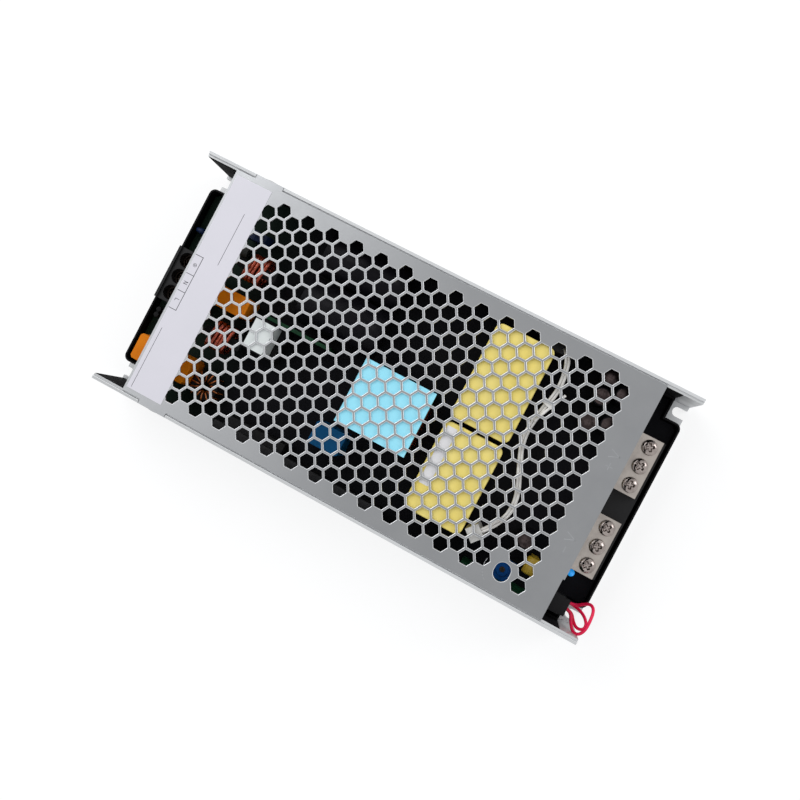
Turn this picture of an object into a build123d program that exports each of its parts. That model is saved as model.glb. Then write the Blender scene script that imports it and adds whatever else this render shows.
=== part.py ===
from build123d import *
import math
import os

os.makedirs("parts", exist_ok=True)

# Enclosed switching power supply. +X runs along the case to the output end,
# +Y across it, +Z up. The origin is the centre of the underside. Millimetres.

# Case
case_length = 240.0
case_width = 115.0
case_height = 41.0
wall = 2.5
floor = 3.0
lip_width = 1.4
slot_radius = 2.25
slot_spacing_y = 102.0
output_slot_setback = 3.8
input_slot_setback = 1.7

# Perforated cover
cover_sheet = 1.0
cover_sink = 0.2
cover_gap = 0.35
cover_input_setback = 15.4
cover_output_setback = 16.2
cover_edge_radius = 0.45
tab_setback = 24.7
tab_length = 13.7
tab_drop = 7.0
tab_gap = 0.2
cover_step = 0.8
cover_step_inset = 21.5
hex_pitch = 7.1
hex_column_pitch = 6.108
hex_flats = 5.9
hex_input_margin = 21.8
hex_output_margin = 15.4
hex_side_margin = 7.7
hex_offset_y = 0.3
trimmer_setback = 40.3
trimmer_inset = 11.9
trimmer_hole_width = 6.8
trimmer_hole_length = 8.3
trimmer_hole_margin = 1.0

# Bare rating label
label_length = 106.6
label_width = 18.0
label_sheet = 0.15
label_edge_gap = 1.1

# Insulating tray
tray_wall = 0.8
tray_height = 14.0
tray_side_gap = 0.3
tray_end_gap = 0.6
tray_shoulder = 8.1
tray_step_y = 45.3
tray_corner = 3.0

# Main board
board_sheet = 1.6
board_lift = 5.0
board_gap = 0.4
spacer_flats = 7.0
spacer_inset_x = 18.0
spacer_inset_y = 10.0

# Input terminal block
pole_count = 3
pole_pitch = 8.2
barrier = 1.2
input_block_y = 1.0
input_block_depth = 14.0
input_block_height = 20.4
input_block_setback = 4.8
input_lip = 1.4
input_lip_width = 1.2
well_radius = 3.5
well_depth = 7.0
well_setback = 5.8
wire_pocket_height = 4.8
wire_pocket_width = 5.8
wire_pocket_depth = 9.0
clamp_sheet = 1.0
clamp_width = 6.2
clamp_depth = 9.0
input_screw_radius = 2.9
input_screw_head = 2.0

# Output bars
output_screws = 3
output_pitch = 9.0
bar_length = 27.0
bar_depth = 11.2
bar_height = 8.0
bar_setback = 4.8
bar_leg = 2.2
positive_y = 21.0
negative_y = -18.0
bar_screw_offset = 1.0
output_head_radius = 3.3
output_head_height = 2.5
output_base_height = 7.4
output_base_margin = 0.3
output_base_front = 1.8

# Output voltage trimmer on its upright card
trimmer_side = 9.5
trimmer_height = 5.0
trimmer_top = 29.5
rotor_radius = 2.95
rotor_clearance = 0.05
rotor_rise = 0.5
rotor_seat = 2.0
rotor_slot_width = 0.8
rotor_slot_length = 3.8
rotor_slot_depth = 0.8
card_sheet = 1.6
trim_card_length = 34.0
trim_card_height = 24.0

# Indicator lamp
lamp_setback = 13.6
lamp_gap = 0.6
lamp_radius = 1.5
lamp_height = 6.0
lamp_top = 22.5
lamp_lead = 0.5
lamp_lead_pitch = 1.27

# Remote control connector and its jumper wires
header_setback = 13.45
header_inset = 9.7
header_depth = 5.9
header_width = 8.4
header_height = 12.8
plug_depth = 2.5
plug_width = 7.6
plug_height = 4.6
plug_lift = 8.1
wire_diameter = 1.1
wire_inset = 1.2
wire_pitch_y = 3.0
wire_pitch_z = 2.4

# Parts under the cover, each placed from the end or the side that it stands near
can_flats = 16
pad_x = 3.55
pad_y = -7.5
pad_length = 34.3
pad_width = 30.8
pad_sheet = 2.0
choke_core_length = 30.0
choke_core_wall = 5.0
white_pad_setback = 59.4
white_pad_y = -5.9
white_pad_length = 9.8
white_pad_width = 13.7
relay_length = 15.0
relay_width = 16.0
relay_height = 16.0
transformer_setback = 76.75
transformer_length = 27.5
transformer_1_y = 25.2
transformer_1_width = 45.4
transformer_2_y = -20.4
transformer_2_width = 41.8
transformer_gap = 0.6
tape_wall = 1.0
tape_corner = 3.0
core_reach = 2.2
bobbin_height = 3.0
bulk_radius = 11.5
bulk_length = 40.0
bulk_x = -34.0
bulk_inset = 26.5
film_cap_corner = 1.0
front_cap_setback = 21.5
front_cap_inset = 21.8
front_cap_length = 28.0
front_cap_width = 12.4
front_cap_height = 20.4
rear_cap_setback = 37.4
rear_cap_y = 2.0
rear_cap_length = 17.0
rear_cap_width = 9.6
rear_cap_height = 18.4
blue_cap_x = -14.0
blue_cap_y = -32.0
blue_cap_length = 15.0
blue_cap_width = 11.0
blue_cap_height = 20.0
line_choke_setback = 42.0
line_choke_1_y = 20.0
line_choke_2_y = -14.5
line_choke_core_length = 19.0
line_choke_core_height = 20.0
line_choke_core_side = 4.4
line_choke_winding_radius = 6.6
line_choke_winding_length = 9.6
ring_choke_setback = 42.6
ring_choke_inset = 19.0
ring_choke_radius = 6.5
ring_choke_bore = 3.0
ring_choke_height = 10.0
fuse_setback = 20.0
fuse_y = 26.0
fuse_radius = 3.0
fuse_length = 20.0
varistor_setback = 32.0
varistor_y = 34.0
varistor_radius = 7.0
varistor_sheet = 4.5
card_x = -47.9
card_y = 3.4
card_length = 32.0
card_height = 24.0
output_cap_radius = 4.0
output_cap_height = 24.0
high_cap_places = ((37.4, 9.1), (37.4, 17.9), (29.0, 13.5), (37.2, 29.9), (29.0, 27.5))
low_cap_setback = 37.2
low_cap_inset = 28.0
sleeve_cap_setback = 29.6
sleeve_cap_inset = 18.9
sleeve_cap_radius = 3.6
sleeve_cap_length = 7.6
sleeve_cap_height = 18.0
heat_bar_depth = 5.0
heat_bar_height = 18.0
input_heat_bar_x = -22.0
input_heat_bar_length = 84.0
output_heat_bar_setback = 62.0
output_heat_bar_length = 10.0
bridge_length = 30.0
bridge_depth = 4.6
bridge_height = 16.0
bridge_x = -45.0

# White sensing lead under the cover
lead_width = 2.6
lead_thickness = 1.3
lead_plug_length = 6.0
lead_plug_width = 6.5
tie_width = 2.4
tie_sheet = 0.9
tie_gap = 0.5

# Levels and edges worked out from the sizes above
half_length = case_length / 2
half_width = case_width / 2
ledge_top = case_height - cover_sink - cover_sheet
cover_top = ledge_top + cover_sheet
inner_half = half_width - wall
cover_half_width = half_width - lip_width - cover_gap
cover_left = cover_input_setback - half_length
cover_right = half_length - cover_output_setback
tab_start = tab_setback - half_length
tab_centre_x = tab_start + tab_length / 2
tray_top = floor + tray_height
tray_half_length = half_length - tray_end_gap
tray_half_width = inner_half - tray_side_gap
board_bottom = floor + board_lift
board_top = board_bottom + board_sheet
board_inset = tray_wall + board_gap
input_block_left = input_block_setback - half_length
input_block_width = pole_count * pole_pitch + barrier
input_block_top = board_top + input_block_height
well_x = input_block_left + well_setback
well_floor = input_block_top - well_depth
bar_right = half_length - bar_setback
bar_left = bar_right - bar_depth
bar_bottom = board_top + output_base_height
bar_top = bar_bottom + bar_height
bar_screw_x = (bar_left + bar_right) / 2 + bar_screw_offset
trimmer_bottom = trimmer_top - trimmer_height
trimmer_x = half_length - trimmer_setback
trimmer_y = trimmer_inset - half_width
card_face_y = trimmer_y - trimmer_side / 2
lamp_x = half_length - lamp_setback
lamp_y = negative_y - bar_length / 2 - lamp_gap - lamp_radius
header_x = half_length - header_setback
header_y = header_inset - half_width
plug_face_x = header_x + header_depth / 2 + plug_depth
plug_bottom = board_top + plug_lift
wire_row_low = plug_bottom + plug_height / 2 - wire_pitch_z / 2
wire_row_high = wire_row_low + wire_pitch_z
wire_out_y = header_y + plug_width / 2 - wire_inset
white_pad_x = white_pad_setback - half_length
transformer_x = half_length - transformer_setback
bulk_y = half_width - bulk_inset
line_choke_x = line_choke_setback - half_length
output_heat_bar_x = half_length - output_heat_bar_setback
wire_back_y = wire_out_y - wire_pitch_y
under_cover = ledge_top
transformer_top = under_cover - transformer_gap


def span(x0, x1, y0, y1, z0, z1):
    """A box between two corners."""
    box = Box(x1 - x0, y1 - y0, z1 - z0)
    return Pos((x0 + x1) / 2, (y0 + y1) / 2, (z0 + z1) / 2) * box


def standing(x, y, length, width, bottom, height):
    """A box centred at x, y and standing on a level."""
    return Pos(x, y, bottom + height / 2) * Box(length, width, height)


def post(x, y, radius, bottom, height):
    """An upright cylinder standing on a level."""
    return Pos(x, y, bottom + height / 2) * Cylinder(radius, height)


def can(radius, length):
    """A round that repeats or stands under the cover, drawn with a few flats about the origin."""
    return extrude(RegularPolygon(radius, can_flats), length / 2, both=True)


def can_post(x, y, radius, bottom, height):
    """A can standing on a level."""
    return Pos(x, y, bottom + height / 2) * can(radius, height)


def lying_x(x, y, z, radius, length):
    """A can lying along X."""
    return Pos(x, y, z) * Rot(0, 90, 0) * can(radius, length)


def lying_y(x, y, z, radius, length):
    """A can lying along Y."""
    return Pos(x, y, z) * Rot(90, 0, 0) * can(radius, length)


def open_slot(end, setback):
    """The cutter of one open mounting slot, running out past the end of the case."""
    cutters = Part()
    centre_x = end * (half_length - setback)
    for side in (-1, 1):
        y = side * slot_spacing_y / 2
        cutters += post(centre_x, y, slot_radius, -floor, 3 * floor)
        run = Box(2 * setback, 2 * slot_radius, 3 * floor)
        cutters += Pos(centre_x + end * setback, y, floor / 2) * run
    return cutters


def tab_recess(side):
    """The notch in the lip and the recess down the outer face for one cover tab."""
    length = tab_length + 2 * tab_gap
    outer = side * half_width
    notch = Box(length, 2 * lip_width, 2 * (case_height - ledge_top))
    cutter = Pos(tab_centre_x, outer, case_height) * notch
    recess = Box(length, 2 * cover_sheet, 2 * (tab_drop + tab_gap))
    return cutter + Pos(tab_centre_x, outer, cover_top) * recess


def chassis():
    """The channel: floor and two side walls drawn in section, with slots and tab recesses."""
    with BuildSketch(Plane.YZ) as section:
        with BuildLine():
            right = [
                (half_width, 0),
                (half_width, case_height),
                (half_width - lip_width, case_height),
                (half_width - lip_width, ledge_top),
                (inner_half, ledge_top),
                (inner_half, floor),
            ]
            left = [(-y, z) for y, z in reversed(right)]
            Polyline(right + left, close=True)
        make_face()
    body = extrude(section.sketch, half_length, both=True)
    body -= open_slot(1, output_slot_setback)
    body -= open_slot(-1, input_slot_setback)
    for side in (-1, 1):
        body -= tab_recess(side)
    return body


def hex_places():
    """Centres of the honeycomb holes: as many columns and rows as the sheet has room for."""
    first_x = cover_left + hex_input_margin
    columns = int((cover_right - hex_output_margin - first_x) / hex_column_pitch) + 1
    rows = int((cover_half_width - hex_side_margin - hex_pitch / 4) * 2 / hex_pitch) + 1
    clear_x = trimmer_hole_width / 2 + hex_flats / 2 + trimmer_hole_margin
    clear_y = trimmer_hole_length / 2 + hex_flats / 2 + trimmer_hole_margin
    places = []
    for column in range(columns):
        x = first_x + column * hex_column_pitch
        shift = hex_pitch / 4 if column % 2 else -hex_pitch / 4
        for row in range(rows):
            y = hex_offset_y + (row - (rows - 1) / 2) * hex_pitch + shift
            beside_x = abs(x - trimmer_x) < clear_x
            if beside_x and abs(y - trimmer_y) < clear_y:
                continue
            places.append((x, y))
    return places


def hex_corners(x, y):
    """The six corners of one hole, with two of them on its X axis."""
    reach = hex_flats / math.sqrt(3)
    turns = [corner * math.pi / 3 for corner in range(6)]
    return [(x + reach * math.cos(turn), y + reach * math.sin(turn)) for turn in turns]


def outline_at(corners):
    """A closed outline through corners at the cover's lower face."""
    return Wire.make_polygon([(x, y, ledge_top) for x, y in corners], close=True)


def cover_tab(side):
    """One ear of the cover: over the wall, then down its outer face."""
    root = side * (cover_half_width - cover_sheet)
    outer = side * half_width
    y0, y1 = sorted((root, outer))
    flat = span(tab_start, tab_start + tab_length, y0, y1, ledge_top, cover_top)
    y0, y1 = sorted((outer - side * cover_sheet, outer))
    drop = span(tab_start, tab_start + tab_length, y0, y1, cover_top - tab_drop, cover_top)
    return flat + drop


def cover():
    """The perforated sheet, its two folded tabs and the oval hole over the trimmer."""
    edge = cover_half_width
    step_y = cover_step_inset - half_width
    stepped = [(cover_right - cover_step, -edge), (cover_right - cover_step, step_y), (cover_right, step_y)]
    corners = [(cover_left, -edge)] + stepped + [(cover_right, edge), (cover_left, edge)]
    openings = [outline_at(hex_corners(x, y)) for x, y in hex_places()]
    oval = SlotOverall(trimmer_hole_length, trimmer_hole_width, rotation=90)
    oval = Pos(trimmer_x, trimmer_y, ledge_top) * oval
    openings.append(oval.face().outer_wire())
    sheet = extrude(Face(outline_at(corners), openings), cover_sheet)
    top_edges = sheet.edges().group_by(Axis.Z)[-1].sort_by(Axis.Y)
    sheet = fillet([top_edges[0], top_edges[-1]], cover_edge_radius)
    for side in (-1, 1):
        sheet += cover_tab(side)
    return sheet


def rating_label():
    """The plain sticker beside the input end of the cover."""
    x = cover_left + label_edge_gap + label_width / 2
    return standing(x, 0, label_width, label_length, cover_top, label_sheet)


def ended_outline(half_x, half_y, shoulder_x, step_y, corner):
    """A plate outline with its four corners stepped back round the mounting ears."""
    centre = Rectangle(2 * half_x, 2 * step_y)
    centre = fillet(centre.vertices(), corner)
    return centre + Rectangle(2 * shoulder_x, 2 * half_y)


def insulation_tray():
    """The thin insulating tray between the chassis and the board, open at the top."""
    shoulder = tray_half_length - tray_shoulder
    outer = ended_outline(tray_half_length, tray_half_width, shoulder, tray_step_y, tray_corner)
    inner = ended_outline(
        tray_half_length - tray_wall,
        tray_half_width - tray_wall,
        shoulder - tray_wall,
        tray_step_y - tray_wall,
        tray_corner - tray_wall,
    )
    body = extrude(Plane.XY.offset(floor) * outer, tray_height)
    return body - extrude(Plane.XY.offset(floor + tray_wall) * inner, tray_height)


def main_board():
    """The bare circuit board, set inside the tray's walls."""
    reach = tray_half_length - board_inset
    outline = Rectangle(2 * reach, 2 * (tray_step_y - board_inset))
    outline = chamfer(outline.vertices(), tray_corner - board_inset)
    outline += Rectangle(2 * (reach - tray_shoulder), 2 * (tray_half_width - board_inset))
    return extrude(Plane.XY.offset(board_bottom) * outline, board_sheet)


def board_spacers():
    """Hexagonal posts that hold the board off the tray."""
    posts = Part()
    height = board_bottom - floor - tray_wall
    reach_x = half_length - spacer_inset_x
    reach_y = half_width - spacer_inset_y
    for x in (-reach_x, reach_x):
        for y in (-reach_y, reach_y):
            profile = Plane.XY.offset(floor + tray_wall) * Pos(x, y) * RegularPolygon(
                spacer_flats / 2, 6, major_radius=False
            )
            posts += extrude(profile, height)
    return posts


def pole_places():
    """The Y place of each pole of the input terminal block."""
    first = input_block_y - (pole_count - 1) / 2 * pole_pitch
    return [first + pole * pole_pitch for pole in range(pole_count)]


def input_terminal_block():
    """The moulded block: a round screw well and a wire pocket for each pole."""
    left = input_block_left
    right = left + input_block_depth
    low_y = input_block_y - input_block_width / 2
    high_y = input_block_y + input_block_width / 2
    block = span(left, right, low_y, high_y, board_top, input_block_top)
    block += span(left, left + input_lip_width, low_y, high_y, input_block_top, input_block_top + input_lip)
    pocket_top = well_floor - clamp_sheet
    for y in pole_places():
        block -= can_post(well_x, y, well_radius, well_floor, 2 * well_depth)
        half = wire_pocket_width / 2
        block -= span(
            left, left + wire_pocket_depth, y - half, y + half, pocket_top - wire_pocket_height, pocket_top
        )
        block -= input_clamp(y)
    return block


def input_clamp(y):
    """The square plate under one input screw, let into the block."""
    x0 = well_x - clamp_depth / 2
    return span(x0, x0 + clamp_depth, y - clamp_width / 2, y + clamp_width / 2, well_floor - clamp_sheet, well_floor)


def input_clamps():
    """All the plates under the input screws."""
    return Compound(children=[input_clamp(y) for y in pole_places()])


def input_terminal_screws():
    """The screw heads at the bottoms of the wells."""
    heads = [can_post(well_x, y, input_screw_radius, well_floor, input_screw_head) for y in pole_places()]
    return Compound(children=heads)


def screw_places(bar_y):
    """The Y place of each screw along one output bar."""
    first = bar_y - (output_screws - 1) / 2 * output_pitch
    return [first + screw * output_pitch for screw in range(output_screws)]


def output_bar(bar_y):
    """One plated bar: a block on the base and a leg down to the board behind it."""
    low_y = bar_y - bar_length / 2
    high_y = bar_y + bar_length / 2
    bar = span(bar_left, bar_right, low_y, high_y, bar_bottom, bar_top)
    return bar + span(bar_left - bar_leg, bar_left, low_y, high_y, board_top, bar_top)


def output_terminal_screws():
    """The heads of the screws of both bars, seated on the plating."""
    places = screw_places(positive_y) + screw_places(negative_y)
    heads = [can_post(bar_screw_x, y, output_head_radius, bar_top, output_head_height) for y in places]
    return Compound(children=heads)


def output_terminal_base():
    """The moulded base that carries both output bars above the board."""
    low_y = negative_y - bar_length / 2 - output_base_margin
    high_y = positive_y + bar_length / 2 + output_base_margin
    right = bar_right + output_base_front
    return span(bar_left, right, low_y, high_y, board_top, bar_bottom)


def trimmer_body():
    """The square housing of the trimmer, bored for its rotor."""
    body = standing(trimmer_x, trimmer_y, trimmer_side, trimmer_side, trimmer_bottom, trimmer_height)
    bore = rotor_radius + rotor_clearance
    return body - post(trimmer_x, trimmer_y, bore, trimmer_top - rotor_seat, rotor_seat)


def trimmer_rotor():
    """The turning disc with its cross slot."""
    bottom = trimmer_top - rotor_seat + rotor_clearance
    top = trimmer_top + rotor_rise
    disc = post(trimmer_x, trimmer_y, rotor_radius, bottom, top - bottom)
    for size in ((rotor_slot_length, rotor_slot_width), (rotor_slot_width, rotor_slot_length)):
        disc -= standing(trimmer_x, trimmer_y, *size, top - rotor_slot_depth, rotor_slot_depth)
    return disc


def trimmer_card():
    """The upright card behind the trimmer, standing on the board."""
    y = card_face_y - card_sheet / 2
    return standing(trimmer_x, y, trim_card_length, card_sheet, board_top, trim_card_height)


def status_lamp():
    """The small indicator lamp on its two leads."""
    lamp = can_post(lamp_x, lamp_y, lamp_radius, lamp_top - lamp_height, lamp_height)
    for side in (-1, 1):
        x = lamp_x + side * lamp_lead_pitch / 2
        lamp += standing(x, lamp_y, lamp_lead, lamp_lead, board_top, lamp_top - lamp_height - board_top)
    return lamp


def control_header():
    """The board header that the remote control plug goes on to."""
    return standing(header_x, header_y, header_depth, header_width, board_top, header_height)


def control_plug():
    """The two-row plug on the header's outer face."""
    left = header_x + header_depth / 2
    half = plug_width / 2
    return span(left, left + plug_depth, header_y - half, header_y + half, plug_bottom, plug_bottom + plug_height)


# Points of the two jumper wires, as steps from the first wire hole of each row of the plug
high_jumper_steps = (
    (2.6, 0, 0),
    (5.4, 2.7, 2.4),
    (8.6, 3.5, 6.6),
    (10.0, -0.2, 10.2),
    (9.5, -5.2, 11.8),
    (6.7, -8.5, 9.8),
    (4.1, -6.8, 5.6),
)
low_jumper_steps = (
    (3.0, 0, 0),
    (6.6, -1.2, 1.0),
    (9.2, -2.4, 4.4),
    (9.6, -4.6, 8.4),
    (7.8, -6.8, 9.6),
    (6.0, -6.7, 6.6),
    (4.9, -5.0, 2.6),
)
jumper_return = 2.9


def jumper_route(steps, level):
    """The route out of the plug's face at a level, round its steps and back in beside itself."""
    start = Vector(plug_face_x, wire_out_y, level)
    middle = [start + Vector(*step) for step in steps]
    back = Vector(plug_face_x + jumper_return, wire_back_y, level)
    return [start] + middle + [back, Vector(plug_face_x, wire_back_y, level)]


# Points of the sensing lead: setback from the output end, place across the case, and level
lead_level = 37.6
lead_start_y = tray_half_width - board_inset - heat_bar_depth / 2
lead_points = (
    (60.0, lead_start_y, board_top + heat_bar_height),
    (60.0, lead_start_y, 33.0),
    (56.2, 45.2, 37.0),
    (54.4, 32.6, lead_level),
    (57.8, 20.0, lead_level),
    (58.6, 7.4, lead_level),
    (53.2, -5.0, lead_level),
    (48.4, -16.4, lead_level),
    (49.6, -27.4, lead_level),
    (55.8, -34.8, lead_level),
)
lead_route = [Vector(half_length - setback, y, z) for setback, y, z in lead_points]


def corner_radii(route):
    """For each corner, 0.45 of its shorter run over the tangent of half the turn."""
    radii = []
    for before, corner, after in zip(route, route[1:], route[2:]):
        first = corner - before
        second = after - corner
        half_turn = math.radians(first.get_angle(second)) / 2
        radii.append(0.45 * min(first.length, second.length) / math.tan(half_turn))
    return radii


def wire_path(route):
    """Straight runs joined by tangent arcs through the route."""
    return FilletPolyline(*route, radius=corner_radii(route))


def jumper_wire(route, name):
    """One insulated jumper wire, drawn as a plain square tube."""
    path = wire_path(route)
    start = Plane(path @ 0, z_dir=path % 0)
    print(name, "length", round(path.length, 1), "radii", [round(r, 1) for r in corner_radii(route)])
    return sweep(start * RegularPolygon(wire_diameter / 2, 4), path=path)


def white_lead():
    """The flat two-core sensing lead, lying just under the cover."""
    path = wire_path(lead_route)
    start = Plane(path @ 0, x_dir=(0, 1, 0), z_dir=path % 0)
    return sweep(start * Rectangle(lead_thickness, lead_width), path=path)


def white_lead_plug():
    """The lead's plug, standing on the board at the end of the lead."""
    end = lead_route[-1]
    along = (end - lead_route[-2]).normalized()
    centre = end + along * (lead_plug_length / 2)
    height = end.Z + lead_thickness / 2 - board_top
    turn = math.degrees(math.atan2(along.Y, along.X))
    body = Rot(0, 0, turn) * Box(lead_plug_length, lead_plug_width, height)
    return Pos(centre.X, centre.Y, board_top + height / 2) * body


def cable_tie():
    """The closed band of the tie round the lead."""
    before = lead_route[3]
    after = lead_route[4]
    along = (after - before).normalized()
    middle = (before + after) * 0.5
    turn = math.degrees(math.atan2(along.Y, along.X))
    inside_width = lead_width + 2 * tie_gap
    inside_height = lead_thickness + 2 * tie_gap
    band = Box(tie_width, inside_width + 2 * tie_sheet, inside_height + 2 * tie_sheet)
    band -= Box(2 * tie_width, inside_width, inside_height)
    return Pos(middle.X, middle.Y, middle.Z) * Rot(0, 0, turn) * band


def thermal_pad():
    """The soft gap pad between the boost choke and the cover."""
    return standing(pad_x, pad_y, pad_length, pad_width, under_cover - pad_sheet, pad_sheet)


def boost_choke_core():
    """The ferrite of the boost choke: a closed frame open along X."""
    height = under_cover - pad_sheet - board_top
    frame = standing(pad_x, pad_y, choke_core_length, pad_width, board_top, height)
    window = standing(
        pad_x,
        pad_y,
        2 * choke_core_length,
        pad_width - 2 * choke_core_wall,
        board_top + choke_core_wall,
        height - 2 * choke_core_wall,
    )
    return frame - window


def boost_choke_winding():
    """The winding that fills the window of the boost choke's core."""
    height = under_cover - pad_sheet - board_top - 2 * choke_core_wall
    width = pad_width - 2 * choke_core_wall
    return standing(pad_x, pad_y, pad_length, width, board_top + choke_core_wall, height)


def relay():
    """The inrush relay under the white pad."""
    return standing(white_pad_x, white_pad_y, relay_length, relay_width, board_top, relay_height)


def white_pad():
    """The white spacer block between the relay and the cover."""
    bottom = board_top + relay_height
    return standing(white_pad_x, white_pad_y, white_pad_length, white_pad_width, bottom, under_cover - bottom)


def transformer_core(y, width):
    """The ferrite block of one transformer, showing past its tape at both ends of the winding."""
    bottom = board_top + bobbin_height
    height = transformer_top - tape_wall - bottom - tape_wall
    return standing(
        transformer_x, y, transformer_length - 2 * tape_wall, width - 2 * core_reach, bottom + tape_wall, height
    )


def transformer_tape(y, width):
    """The band of yellow tape round one transformer, with its corners cut back."""
    bottom = board_top + bobbin_height
    height = transformer_top - bottom
    block = standing(transformer_x, y, transformer_length, width, bottom, height)
    block = chamfer(block.edges().filter_by(Axis.Z), tape_corner)
    return block - transformer_core(y, width)


def transformer_bobbin(y, width):
    """The pin base under one transformer."""
    return standing(transformer_x, y, transformer_length - 2 * tape_wall, width - 2 * core_reach, board_top, bobbin_height)


def bulk_capacitor(side):
    """One large storage capacitor lying along X on the board."""
    y = bulk_y + side * (bulk_radius + board_gap / 2)
    return lying_x(bulk_x, y, board_top + bulk_radius, bulk_radius, bulk_length)


def end_film_capacitor():
    """The large film capacitor beside the input terminals."""
    x = front_cap_setback - half_length
    y = front_cap_inset - half_width
    return film_capacitor(x, y, front_cap_length, front_cap_width, front_cap_height)


def inner_film_capacitor():
    """The film capacitor between the line chokes."""
    x = rear_cap_setback - half_length
    return film_capacitor(x, rear_cap_y, rear_cap_length, rear_cap_width, rear_cap_height)


def film_capacitor(x, y, length, width, height):
    """A box film capacitor with softened upright corners."""
    body = standing(x, y, length, width, board_top, height)
    return chamfer(body.edges().filter_by(Axis.Z), film_cap_corner)


def line_choke_core(y):
    """The square ring of ferrite of one line choke, standing along X."""
    outer = standing(line_choke_x, y, line_choke_core_length, line_choke_core_side, board_top, line_choke_core_height)
    window_length = line_choke_core_length - 2 * line_choke_core_side
    window_height = line_choke_core_height - 2 * line_choke_core_side
    window_bottom = board_top + line_choke_core_side
    return outer - standing(line_choke_x, y, window_length, 2 * line_choke_core_side, window_bottom, window_height)


def line_choke_winding(y):
    """The coil round the upper leg of one line choke."""
    z = board_top + line_choke_core_height - line_choke_core_side / 2
    coil = lying_x(line_choke_x, y, z, line_choke_winding_radius, line_choke_winding_length)
    leg = Box(2 * line_choke_winding_length, line_choke_core_side, line_choke_core_side)
    return coil - Pos(line_choke_x, y, z) * leg


def ring_choke():
    """The small wound ring near the front capacitor."""
    x = ring_choke_setback - half_length
    y = ring_choke_inset - half_width
    ring = can_post(x, y, ring_choke_radius, board_top, ring_choke_height)
    return ring - can_post(x, y, ring_choke_bore, board_top, ring_choke_height)


def input_fuse():
    """The ceramic fuse lying on the board."""
    return lying_x(fuse_setback - half_length, fuse_y, board_top + fuse_radius, fuse_radius, fuse_length)


def varistor():
    """The disc varistor standing on the board."""
    x = varistor_setback - half_length
    return lying_y(x, varistor_y, board_top + varistor_radius, varistor_radius, varistor_sheet)


def control_card():
    """The upright green card beside the white pad."""
    return standing(card_x, card_y, card_length, card_sheet, board_top, card_height)


def output_capacitors():
    """The output capacitors: a group near the high side and one near the low side."""
    places = [(setback, half_width - inset) for setback, inset in high_cap_places]
    places.append((low_cap_setback, low_cap_inset - half_width))
    cans = [can_post(half_length - setback, y, output_cap_radius, board_top, output_cap_height) for setback, y in places]
    return Compound(children=cans)


def sleeved_capacitor():
    """The small yellow sleeved part that lies across its stand near the trimmer."""
    x = half_length - sleeve_cap_setback
    y = sleeve_cap_inset - half_width
    foot = standing(x, y, sleeve_cap_radius, sleeve_cap_length, board_top, sleeve_cap_height)
    return foot + lying_y(x, y, board_top + sleeve_cap_height, sleeve_cap_radius, sleeve_cap_length)


def heat_bar(side, x, length):
    """A dark bar that carries the switches' heat into a side wall, standing inside the tray."""
    y = side * (tray_half_width - board_inset - heat_bar_depth / 2)
    return standing(x, y, length, heat_bar_depth, board_top, heat_bar_height)


def rectifier_bridge():
    """The flat bridge rectifier clamped to the input heat bar."""
    y = -(tray_half_width - board_inset - heat_bar_depth - bridge_depth / 2)
    return standing(bridge_x, y, bridge_length, bridge_depth, board_top, bridge_height)


pieces = {
    "chassis": chassis(),
    "cover": cover(),
    "rating_label": rating_label(),
    "insulation_tray": insulation_tray(),
    "main_board": main_board(),
    "board_spacers": board_spacers(),
    "input_terminal_block": input_terminal_block(),
    "input_clamps": input_clamps(),
    "input_terminal_screws": input_terminal_screws(),
    "output_bar_positive": output_bar(positive_y),
    "output_bar_negative": output_bar(negative_y),
    "output_terminal_screws": output_terminal_screws(),
    "output_terminal_base": output_terminal_base(),
    "trimmer_body": trimmer_body(),
    "trimmer_rotor": trimmer_rotor(),
    "trimmer_card": trimmer_card(),
    "status_lamp": status_lamp(),
    "control_header": control_header(),
    "control_plug": control_plug(),
    "jumper_wire_high": jumper_wire(jumper_route(high_jumper_steps, wire_row_high), "high jumper"),
    "jumper_wire_low": jumper_wire(jumper_route(low_jumper_steps, wire_row_low), "low jumper"),
    "white_lead": white_lead(),
    "white_lead_plug": white_lead_plug(),
    "cable_tie": cable_tie(),
    "thermal_pad": thermal_pad(),
    "boost_choke_core": boost_choke_core(),
    "boost_choke_winding": boost_choke_winding(),
    "relay": relay(),
    "white_pad": white_pad(),
    "transformer_core_1": transformer_core(transformer_1_y, transformer_1_width),
    "transformer_tape_1": transformer_tape(transformer_1_y, transformer_1_width),
    "transformer_bobbin_1": transformer_bobbin(transformer_1_y, transformer_1_width),
    "transformer_core_2": transformer_core(transformer_2_y, transformer_2_width),
    "transformer_tape_2": transformer_tape(transformer_2_y, transformer_2_width),
    "transformer_bobbin_2": transformer_bobbin(transformer_2_y, transformer_2_width),
    "bulk_capacitor_1": bulk_capacitor(-1),
    "bulk_capacitor_2": bulk_capacitor(1),
    "front_film_capacitor": end_film_capacitor(),
    "rear_film_capacitor": inner_film_capacitor(),
    "blue_film_capacitor": film_capacitor(blue_cap_x, blue_cap_y, blue_cap_length, blue_cap_width, blue_cap_height),
    "line_choke_core_1": line_choke_core(line_choke_1_y),
    "line_choke_winding_1": line_choke_winding(line_choke_1_y),
    "line_choke_core_2": line_choke_core(line_choke_2_y),
    "line_choke_winding_2": line_choke_winding(line_choke_2_y),
    "ring_choke": ring_choke(),
    "input_fuse": input_fuse(),
    "varistor": varistor(),
    "control_card": control_card(),
    "output_capacitors": output_capacitors(),
    "sleeved_capacitor": sleeved_capacitor(),
    "input_heat_bar": heat_bar(-1, input_heat_bar_x, input_heat_bar_length),
    "output_heat_bar": heat_bar(1, output_heat_bar_x, output_heat_bar_length),
    "rectifier_bridge": rectifier_bridge(),
}

for name, piece in pieces.items():
    export_step(piece, f"parts/{name}.step")
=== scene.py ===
import math

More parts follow.
